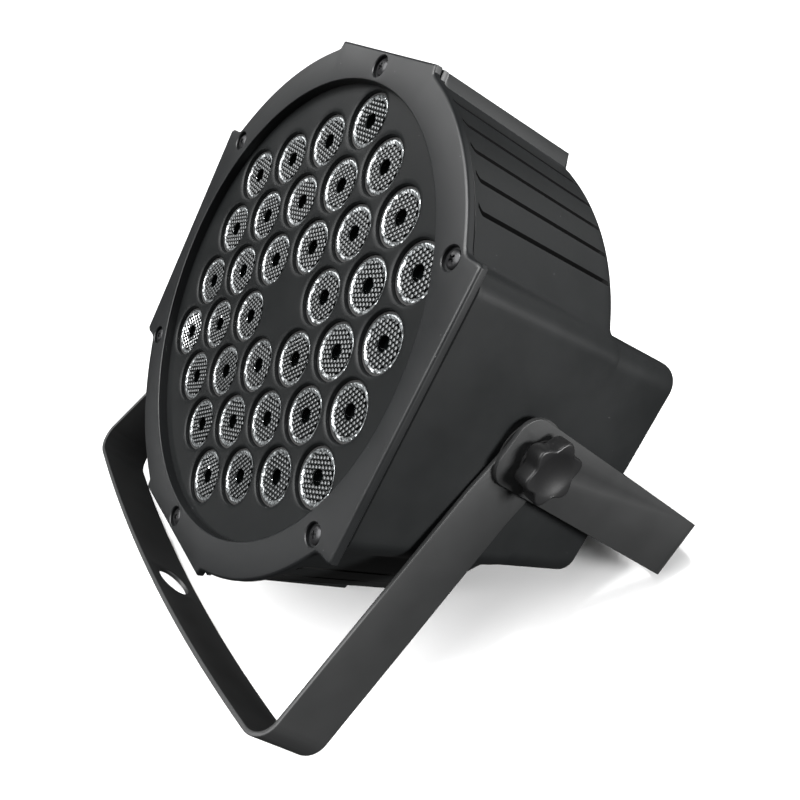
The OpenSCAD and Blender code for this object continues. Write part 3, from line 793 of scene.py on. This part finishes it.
def round_radius(depth):
    """Radius of the round part, with its draft and its rounded rear shoulder."""
    straight = housing_r - round_draft * (depth - housing_front)
    into = max(0, depth - (round_depth - shoulder_r))
    return straight - shoulder_r + math.sqrt(shoulder_r**2 - into**2)


def make_housing():
    """The outer skin: a narrow neck behind the bezel, the grooved round part, its rear wall, the box."""
    shell = Shell()
    angle = housing_angles()
    shade_depth = shell.mesh.verts.layers.float.new("groove")

    def round_ring(depth, inset=0.0):
        """A ring round the front part, with its grooves and the hook at their front ends."""
        hook = hook_turn * np.clip((groove_front + hook_depth - depth) / hook_depth, 0, 1) ** 2
        turned = angle + hook * np.sin(2 * angle) * np.abs(np.sin(2 * angle))
        reach = housing_radius(turned, depth, round_radius(depth)) - inset
        cut_depth = groove_cut(angle, depth) if depth >= groove_front else np.zeros_like(angle)
        ring = shell.ring([(r * math.cos(a), depth, r * math.sin(a))
                           for r, a in zip(reach - cut_depth, turned)])
        for vert, cut_here in zip(ring, cut_depth):
            vert[shade_depth] = cut_here
        return ring

    def box_points(depth):
        reach = housing_radius(angle, depth, None)
        return [(r * math.cos(a), depth, r * math.sin(a)) for r, a in zip(reach, angle)]

    rings = [round_ring(housing_front + depth, inset) for depth, inset in (
        (0, neck_depth), (neck_width, neck_depth), (neck_width + 0.1, 0.5), (neck_width + 0.6, 0))]
    # The neck is marked as deep, so it gets the painted shade.
    for vert in rings[0] + rings[1]:
        vert[shade_depth] = neck_depth
    shoulder = round_depth - shoulder_r
    depths = [groove_front + past for past in (-0.2, 0, 0.4, 0.8, 1.4, 2, 5)]
    depths += list(np.linspace(groove_front + 9, lug_end, 8))
    depths += [shoulder - groove_fade, shoulder - 0.5 * groove_fade, shoulder]
    depths += [shoulder + shoulder_r * math.sin(a) for a in np.linspace(0, math.pi / 2, 7)[1:]]
    rings += [round_ring(depth) for depth in depths]
    shell.loft(rings)
    # Faces in the grooves and the neck get the painted shade material.
    for face in shell.mesh.faces:
        if max(vert[shade_depth] for vert in face.verts) > PAINTED_SHADE_OVER:
            face.material_index = PAINTED_SHADE_SLOT
    rear_wall(shell, rings[-1], box_points(round_depth), angle)
    chamfer_start = lamp_depth - end_chamfer
    rear = [shell.ring(box_points(depth)) for depth in (
        round_depth, round_depth + 15, chamfer_start - 0.4, chamfer_start + 0.2,
        lamp_depth - 0.3, lamp_depth)]
    shell.loft(rear)
    return shell, rear[-1], angle


def rear_wall(shell, ring, inner, angle):
    """The flat rear face of the round part, above and below the box, with its air slots."""
    gap = np.array([v.co.xz.length - math.hypot(p[0], p[2]) for v, p in zip(ring, inner)])
    for side in (1, -1):
        lobe = [k for k in range(len(angle)) if side * math.sin(angle[k]) > 0 and gap[k] > 0.3]
        path = ring[lobe[0] - 1:lobe[-1] + 2]
        loop = path + shell.ring(inner[lobe[0] - 1:lobe[-1] + 2][::-1])
        slots = []
        for x in slot_xs:
            slot_ring = [(x + sx * slot_half_x, round_depth, side * slot_z + sz * slot_half_z)
                         for sx, sz in ((-1, -1), (1, -1), (1, 1), (-1, 1))]
            top = shell.ring(slot_ring)
            deep = shell.ring([(px, round_depth - wall, pz) for px, _, pz in slot_ring])
            shell.skin(top, deep)
            slots.append(top)
        shell.fill([loop, *slots])


def make_rear_rim(shell, edge, angle):
    """The flat rim round the rear cover, and the wall of its pocket."""
    cover_low, cover_high = lamp_box("rear_cover")
    pocket = box_radius(angle, cover_high[0] + pocket_gap, cover_high[2] + pocket_gap, pocket_corner_r)
    rings = [edge]
    for extra, depth in ((0.2, lamp_depth), (0, lamp_depth - 0.2), (0, cover_low[1])):
        rings.append(shell.ring([((p + extra) * math.cos(a), depth, (p + extra) * math.sin(a))
                                 for p, a in zip(pocket, angle)]))
    shell.loft(rings)


def make_pivot_bosses(shell):
    """Round pads on the two sides, where the yokes are clamped."""
    centre = TO_LAMP @ pivot
    face = lamp_box("friction_pad_right")[0][0]
    levels = [(16.5, face - 1.6), (14.6, face - 1.1), (14.0, face - 0.5), (13.8, face - 0.1), (13.5, face)]
    levels += [(4, face), (4, face - 6)]
    for side in (-1, 1):
        rings = [shell.ring([(side * x, centre.y + r * math.cos(a), centre.z + r * math.sin(a))
                             for a in np.linspace(0, 2 * math.pi, 64, endpoint=False)]) for r, x in levels]
        shell.loft(rings)


housing_shell, rear_edge, rear_angle = make_housing()
make_rear_rim(housing_shell, rear_edge, rear_angle)
make_pivot_bosses(housing_shell)
add_piece("ribbed_housing", housing_shell, "housing_plastic", "rear_housing",
          crease=28, weld=0.004, also=["painted_groove_shade"])

# ---------------------------------------------------------------- star knobs

knob_low, knob_high = lamp_box("knob_right")
knob_r = (knob_high[1] - knob_low[1]) / 2
KNOB_LOBES = 6
knob_swing = 0.1 * knob_r
knob_rounding = 0.9
hub_r = 9
dish_depth = 1.65


def make_knob(name, side, node):
    """A six-lobed knob on the pivot line, with a hub at its base and a dished face."""
    shell = Shell()
    centre = TO_LAMP @ pivot
    face = knob_high[0]
    base = knob_low[0]
    angle = even_angles(2)
    star = knob_r - knob_swing + knob_swing * np.cos(KNOB_LOBES * (angle - math.pi / 2))

    def polar_ring(reach, x):
        return shell.ring([(side * x, centre.y + r * math.cos(a), centre.z + r * math.sin(a))
                           for r, a in zip(reach, angle)])

    def star_ring(inset, x, toward_round=0.0):
        us, vs = inset_points(angle, star, inset)
        reach = np.hypot(us, vs) * (1 - toward_round) + (np.min(star) - inset) * toward_round
        return polar_ring(reach, x)

    def round_ring(radius, x):
        return polar_ring(np.full_like(angle, radius), x)

    hub = [(3.2, 0), (8.6, 0), (hub_r, 0.4), (hub_r, 1.2)]
    rings = [round_ring(radius, base + rise) for radius, rise in hub]
    underside = [(1.4, 1.4), (0.5, 1.7), (0.1, 2.4)]
    rings += [star_ring(inset, base + rise) for inset, rise in underside]
    rings += [star_ring(inset, face - drop) for inset, drop in quarter(knob_rounding, 5)]
    rings += [star_ring(knob_rounding, face, 0.3), star_ring(knob_rounding, face - 0.03, 0.7)]
    dish_r = np.min(star) - 1.2
    dish = [(1, 0.1), (0.93, 0.22), (0.84, 0.44), (0.7, 0.8), (0.52, 1.18), (0.3, 1.5), (0.11, 1.62)]
    rings += [round_ring(dish_r * part, face - drop) for part, drop in dish]
    shell.loft(rings)
    shell.cap(rings[-1], (side * (face - dish_depth), centre.y, centre.z))
    add_piece(name, shell, "knob_plastic", node, crease=40)


make_knob("star_knob_right", 1, "knob_right")
make_knob("star_knob_left", -1, "knob_left")

# ---------------------------------------------------------------- rear screws

cover_screw_x = 85
cover_screw_z = 39
fan_screw_offset = 25
rear_head_r = 2.8
rear_head_h = 1.3
guard_rise = 1.7


def four_corners(x, depth, z):
    """The same place in all four quarters of the rear cover."""
    return [(sx * x, depth, sz * z) for sx in (-1, 1) for sz in (-1, 1)]


make_screws("cover_cross_screws", "black_screw", "cover_screws",
            four_corners(cover_screw_x, lamp_depth + rear_head_h, cover_screw_z),
            rear_head_r, rear_head_h, 8, -1)
make_screws("fan_cross_screws", "plain_steel", "fan_screws",
            four_corners(fan_screw_offset, lamp_depth + guard_rise + rear_head_h, fan_screw_offset),
            rear_head_r, rear_head_h, 9, -1)

# ---------------------------------------------------------------- CAD nodes that stay

# Width in millimetres of the rounding on the edges of the CAD nodes that show.
BEVELS = {
    "rear_cover": 0.35,
    "display_window": 0.2,
    "power_inlet": 0.35,
    "power_inlet_pins": 0.3,
    "dmx_in_socket": 0.3,
    "dmx_in_pins": 0.4,
    "dmx_out_socket": 0.3,
    "dmx_release_tab": 0.4,
    "button_menu": 0.5,
    "button_up": 0.5,
    "button_down": 0.5,
    "button_enter": 0.5,
    "front_yoke": 0.4,
    "rear_yoke": 0.4,
    "fan_frame": 0.4,
    "fan_rotor": 0.2,
    "transformer": 0.8,
    "capacitors": 0.6,
    "knob_washer_left": 0.15,
    "knob_washer_right": 0.15,
    "friction_pad_left": 0.1,
    "friction_pad_right": 0.1,
}


def round_edges(item, width_mm):
    """Joins the flat stretches of a mesh, then bevels its hard edges."""
    weld = item.modifiers.new("weld", "WELD")
    weld.merge_threshold = 0.002 * MM
    flatten = item.modifiers.new("flatten", "DECIMATE")
    flatten.decimate_type = "DISSOLVE"
    flatten.angle_limit = math.radians(0.5)
    bevel = item.modifiers.new("bevel", "BEVEL")
    bevel.width = width_mm * MM
    bevel.segments = 3
    bevel.limit_method = "ANGLE"
    bevel.angle_limit = math.radians(40)
    bevel.harden_normals = True


def dress_cad_nodes():
    """Gives every CAD node its material, and rounds the edges of those that show."""
    for name, item in nodes.items():
        item.data.materials.clear()
        item.data.materials.append(MATERIALS[node_slot[name]])
        item.data.shade_smooth()
        item.data.set_sharp_from_angle(angle=math.radians(30))
        if name in BEVELS:
            round_edges(item, BEVELS[name])


dress_cad_nodes()

# ---------------------------------------------------------------- stage and light


def add_floor():
    """A white paper floor. It is kept out of reflections and bounced light, so that black stays black."""
    data = bpy.data.meshes.new("floor")
    reach = 6
    corners = [(-reach, -reach, 0), (reach, -reach, 0), (reach, reach, 0), (-reach, reach, 0)]
    data.from_pydata(corners, [], [(0, 1, 2, 3)])
    floor = bpy.data.objects.new("floor", data)
    scene.collection.objects.link(floor)
    tree, shader = new_material("floor_paper")
    coords = node_of(tree, "ShaderNodeTexCoord").outputs["Object"]
    patches = spread(tree, noise(tree, coords, 400), 0, 1)
    tone = between(tree, patches, (0.9, 0.9, 0.9), (0.93, 0.93, 0.93))
    tree.links.new(tone, shader.inputs["Base Color"])
    shader.inputs["Roughness"].default_value = 0.9
    shader.inputs["Specular IOR Level"].default_value = 0.1
    data.materials.append(MATERIALS["floor_paper"])
    floor.visible_diffuse = False
    floor.visible_glossy = False


def aimed(name, light, at, target):
    """Puts a light in the scene, facing a target."""
    lamp = bpy.data.objects.new(name, light)
    scene.collection.objects.link(lamp)
    lamp.location = at
    lamp.rotation_mode = "QUATERNION"
    lamp.rotation_quaternion = (Vector(target) - Vector(at)).to_track_quat("-Z", "Y")


def add_softbox(name, at, size, watts):
    """A rectangular light that faces the middle of the lamp."""
    light = bpy.data.lights.new(name, "AREA")
    light.shape = "RECTANGLE"
    light.size, light.size_y = size
    light.energy = watts
    aimed(name, light, at, (0, 0, 0.1))


def add_overhead(name, direction, strength, spread_degrees):
    """A wide, even light over the whole floor."""
    light = bpy.data.lights.new(name, "SUN")
    light.energy = strength
    light.angle = math.radians(spread_degrees)
    aimed(name, light, direction, (0, 0, 0))


def add_world(strength):
    """Faint white light from all round."""
    world = bpy.data.worlds.new("studio")
    scene.world = world
    world.use_nodes = True
    background = world.node_tree.nodes["Background"]
    background.inputs["Color"].default_value = (1, 1, 1, 1)
    background.inputs["Strength"].default_value = strength


add_floor()
add_world(0.035)
add_overhead("overhead_light", (-0.1, -0.8, 1), 6.6, 60)
add_softbox("upper_softbox", (-1.05, -0.45, 0.8), (0.5, 0.4), 2.1)
add_softbox("lower_softbox", (-0.85, -1.0, 0.08), (0.5, 0.12), 0.8)
add_softbox("front_softbox", (-0.35, -1.3, 0.4), (0.16, 0.16), 0.8)
add_softbox("side_softbox", (1.25, 0.46, 0.36), (0.5, 0.4), 31)
add_softbox("edge_softbox", (0.25, -0.28, 1.4), (0.1, 0.1), 8)
add_softbox("rib_softbox", (0.25, 1.2, 0.6), (1.0, 0.4), 1.4)
scene.view_settings.view_transform = "Standard"
